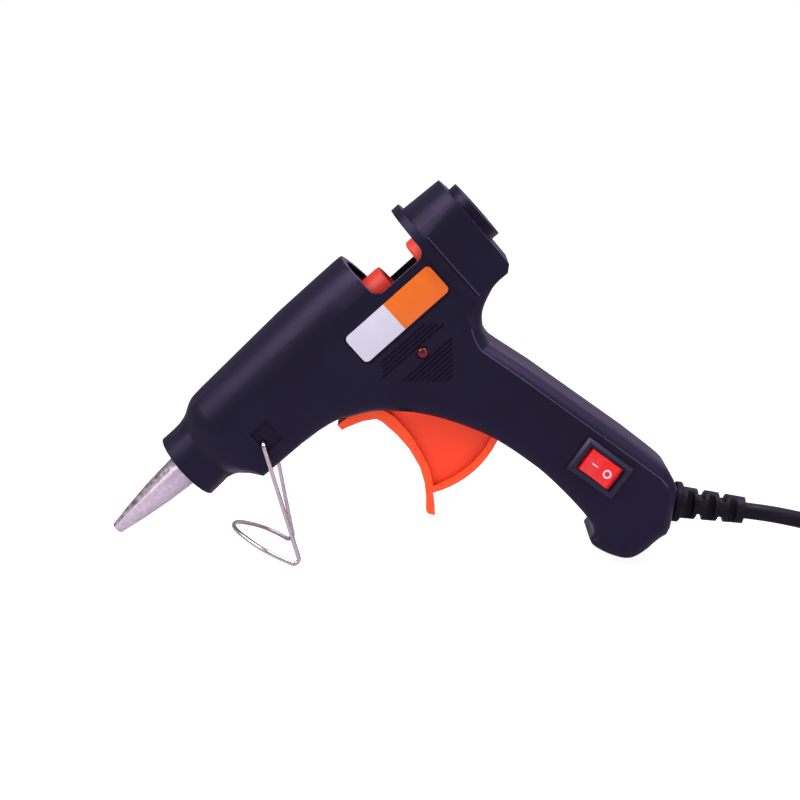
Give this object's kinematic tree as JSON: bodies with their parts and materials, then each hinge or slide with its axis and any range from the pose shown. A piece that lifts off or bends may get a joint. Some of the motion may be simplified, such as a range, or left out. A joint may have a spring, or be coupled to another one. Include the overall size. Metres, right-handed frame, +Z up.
{
  "type": "mini hot glue applicator",
  "caption": "Pistol-shaped hot glue applicator with angled barrel, open stick slot, squeeze trigger, wire stand, rocker switch and a mains cord tied in a hank beside it",
  "frame": {"origin": "on the table below the middle of the applicator without its cord", "axes": "+Z up from the table, +X from the nozzle side to the cord side, +Y away from the side with the switch and label"},
  "size_m": [0.3607, 0.0365, 0.1058],
  "materials": {
    "black_shell": "satin moulded plastic",
    "screw_steel": "plated",
    "cast_alloy": "as cast",
    "heater_ceramic": "matt",
    "spring_steel": "drawn",
    "red_guide": "moulded",
    "orange_trigger": "smooth moulded",
    "bright_wire": "plated wire",
    "switch_black": "moulded",
    "rocker_red": "smooth moulded",
    "tab_brass": "stamped",
    "label_film": "coated film, orange and white",
    "lamp_red": "clear red resin, unlit",
    "resistor_tan": "lacquered",
    "lead_skin": "braided sleeve",
    "black_cord": "smooth sheath",
    "tie_nylon": "moulded",
    "plug_black": "moulded",
    "blade_metal": "nickel-plated"
  },
  "bodies": {
    "housing": {"near_shell": "black_shell", "far_shell": "black_shell", "screw_front": "screw_steel", "screw_tower": "screw_steel", "screw_grip": "screw_steel", "screw_butt": "screw_steel", "nozzle_casting": "cast_alloy", "heater_element": "heater_ceramic", "heater_clip": "spring_steel", "inlet_sleeve": "red_guide", "trigger_pin": "spring_steel", "return_spring": "spring_steel", "switch_body": "switch_black", "terminal_upper": "tab_brass", "terminal_lower": "tab_brass", "rating_label": "label_film", "status_lamp": "lamp_red", "lamp_resistor": "resistor_tan", "lead_supply": "lead_skin", "lead_heater": "lead_skin", "lead_return": "lead_skin", "lead_lamp": "lead_skin", "strain_relief": "black_cord", "cord_tail": "black_cord", "cord_clamp": "switch_black", "power_cord": "black_cord", "cord_coil": "black_cord", "coil_tie": "tie_nylon", "plug_lead": "black_cord", "plug_body": "plug_black", "plug_blade_near": "blade_metal", "plug_blade_far": "blade_metal"},
    "trigger": {"trigger": "orange_trigger"},
    "carriage": {"stick_carriage": "red_guide"},
    "stand": {"wire_stand": "bright_wire"},
    "rocker": {"switch_rocker": "rocker_red"}
  },
  "joints": [
    {"name": "carriage_feed", "type": "slide", "parent": "housing", "child": "carriage", "axis": [-0.7455, 0, -0.6665], "range_m": [0, 0.0074], "stiffness_N_per_m": 250, "springref_m": -0.003, "deforming": ["return_spring"]},
    {"name": "trigger_pull", "type": "hinge", "parent": "housing", "child": "trigger", "pos_m": [-0.00591, 0, 0.04579], "axis": [0, -1, 0], "range_deg": [0, 26]},
    {"name": "stand_swing", "type": "hinge", "parent": "housing", "child": "stand", "pos_m": [-0.04542, 0, 0.03446], "axis": [0, 1, 0], "range_deg": [0, 24]},
    {"name": "switch_rock", "type": "hinge", "parent": "housing", "child": "rocker", "pos_m": [0.04709, -0.0126, 0.02777], "axis": [0.5864, 0, 0.81], "range_deg": [0, 16]}
  ],
  "couplings": [
    {"joint": "trigger_pull", "follows": "carriage_feed", "rad_per_m": 60.577}
  ]
}
